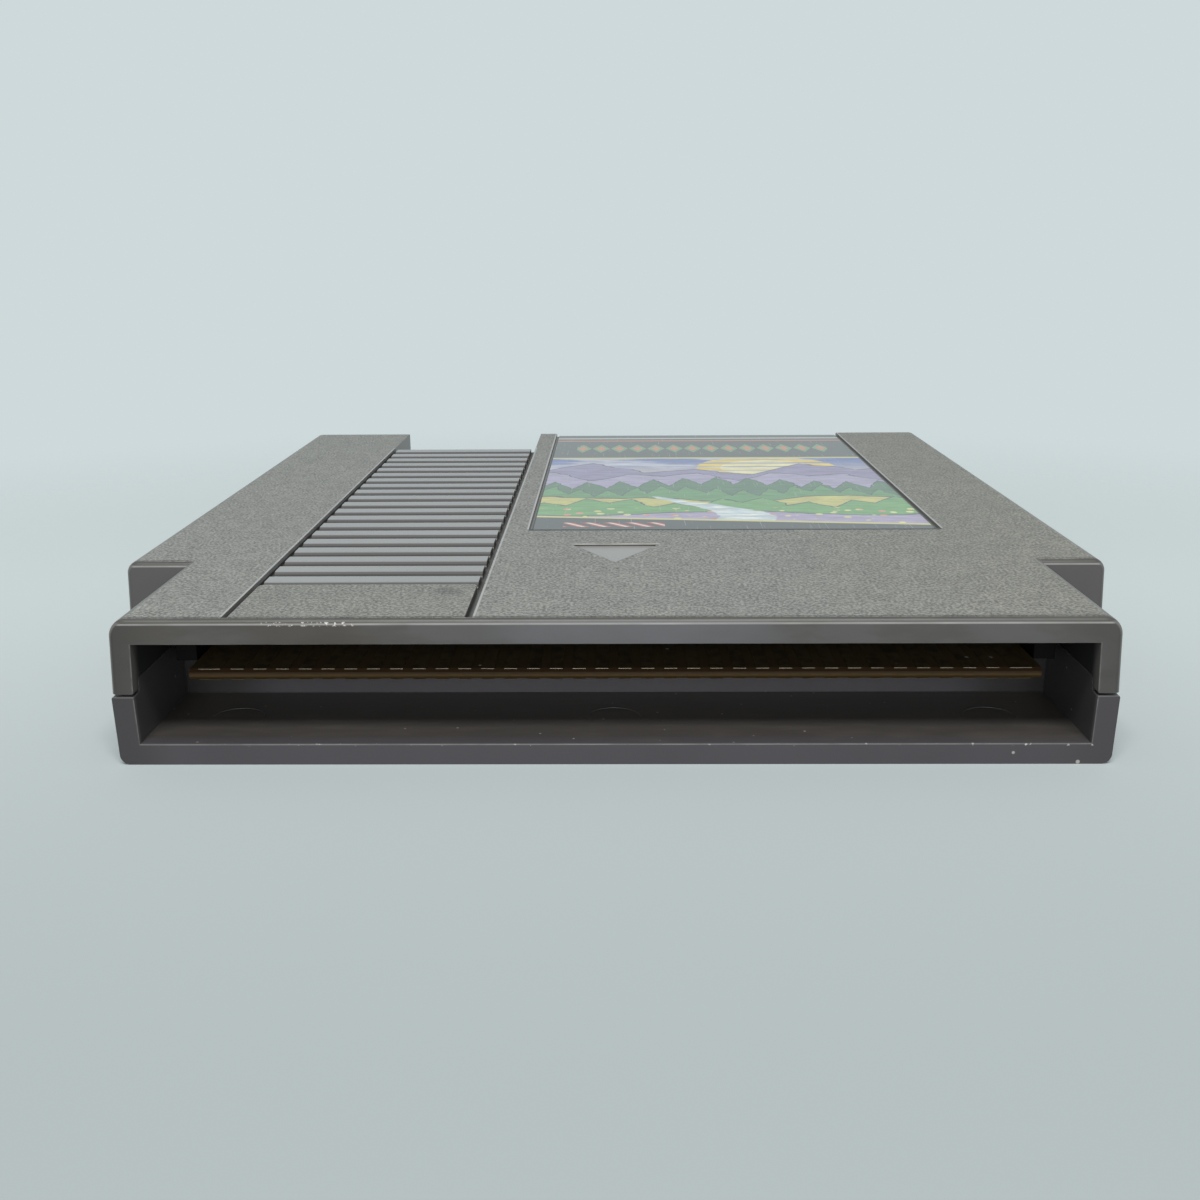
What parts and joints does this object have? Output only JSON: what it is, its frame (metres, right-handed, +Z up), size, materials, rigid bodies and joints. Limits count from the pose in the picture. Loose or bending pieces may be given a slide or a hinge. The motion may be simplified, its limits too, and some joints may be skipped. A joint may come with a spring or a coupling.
{
  "type": "game cartridge",
  "caption": "Flat moulded game cartridge with ribbed grip, label panel, finger notch and an open connector mouth round the contact edge of a circuit board.",
  "frame": {"origin": "middle of the resting face on the back half", "axes": "+X across the case to the right of the grip, +Y from the connector mouth to the far end, +Z up from the back to the label side"},
  "size_m": [0.12, 0.1336, 0.0162],
  "materials": {
    "shell_plastic": "fine pebble grain on the broad faces, satin on edges and ribs",
    "label_film": "glossy printed film",
    "board_laminate": "solder mask over glass laminate",
    "contact_gold": "thin gold plate, worn",
    "chip_resin": "matt moulded resin",
    "lead_metal": "tinned",
    "disc_coat": "dipped coat",
    "can_sleeve": "shrunk film sleeve",
    "screw_steel": "zinc plated"
  },
  "bodies": {
    "root": {"front_shell": "shell_plastic", "back_shell": "shell_plastic", "front_label": "label_film", "circuit_board": "board_laminate", "contacts_top": "contact_gold", "contacts_bottom": "contact_gold", "program_rom_body": "chip_resin", "program_rom_leads": "lead_metal", "character_rom_body": "chip_resin", "character_rom_leads": "lead_metal", "mapper_chip_body": "chip_resin", "mapper_chip_leads": "lead_metal", "lockout_chip_body": "chip_resin", "lockout_chip_leads": "lead_metal", "ceramic_capacitors": "disc_coat", "ceramic_capacitor_leads": "lead_metal", "electrolytic_capacitor": "can_sleeve", "electrolytic_capacitor_leads": "lead_metal", "case_screws": "screw_steel"}
  },
  "joints": []
}
